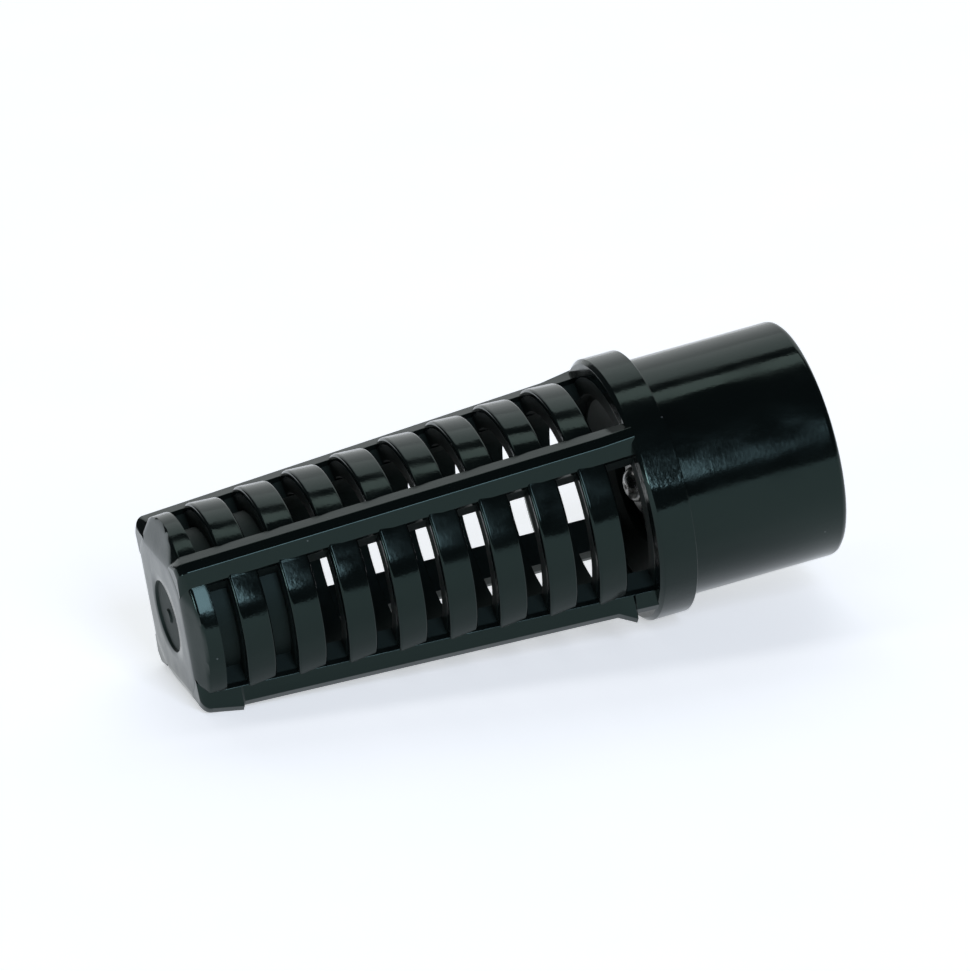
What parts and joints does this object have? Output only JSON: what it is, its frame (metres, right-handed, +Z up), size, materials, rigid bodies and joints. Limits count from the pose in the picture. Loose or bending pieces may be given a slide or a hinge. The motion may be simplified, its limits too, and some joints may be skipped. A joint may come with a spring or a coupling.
{
  "type": "foot valve",
  "caption": "Small moulded foot valve: tapered slotted strainer cage with straight ribs, a collar and a plain pipe end, with a sprung check valve inside.",
  "frame": {"origin": "centre of the collar's shoulder face, where a coupling or hose pushed over the pipe end stops", "axes": "+X along the valve's axis from the strainer's closed nose towards the pipe socket, which is the way the water flows; +Z up as the valve lies on two of its four ribs"},
  "size_m": [0.0694, 0.0278, 0.0278],
  "materials": {
    "black_plastic": "glossy jet-black moulding with faint mould texture",
    "dark_plastic": "satin charcoal moulding",
    "white_plastic": "satin natural white acetal",
    "rubber_seal": "matt black nitrile rubber",
    "stainless_steel": "bright drawn stainless steel"
  },
  "bodies": {
    "housing": {"strainer_basket": "black_plastic", "valve_body": "black_plastic", "pipe_seal": "rubber_seal", "spring_guide": "dark_plastic", "retaining_ring": "stainless_steel", "valve_spring": "stainless_steel"},
    "check_valve": {"poppet": "white_plastic", "poppet_seal": "rubber_seal", "seal_washer": "stainless_steel", "seal_screw": "stainless_steel"}
  },
  "joints": [
    {"name": "valve_lift", "type": "slide", "parent": "housing", "child": "check_valve", "axis": [1, 0, 0], "range_m": [0, 0.002], "stiffness_N_per_m": 100, "springref_m": -0.0025, "deforming": ["valve_spring"]}
  ]
}
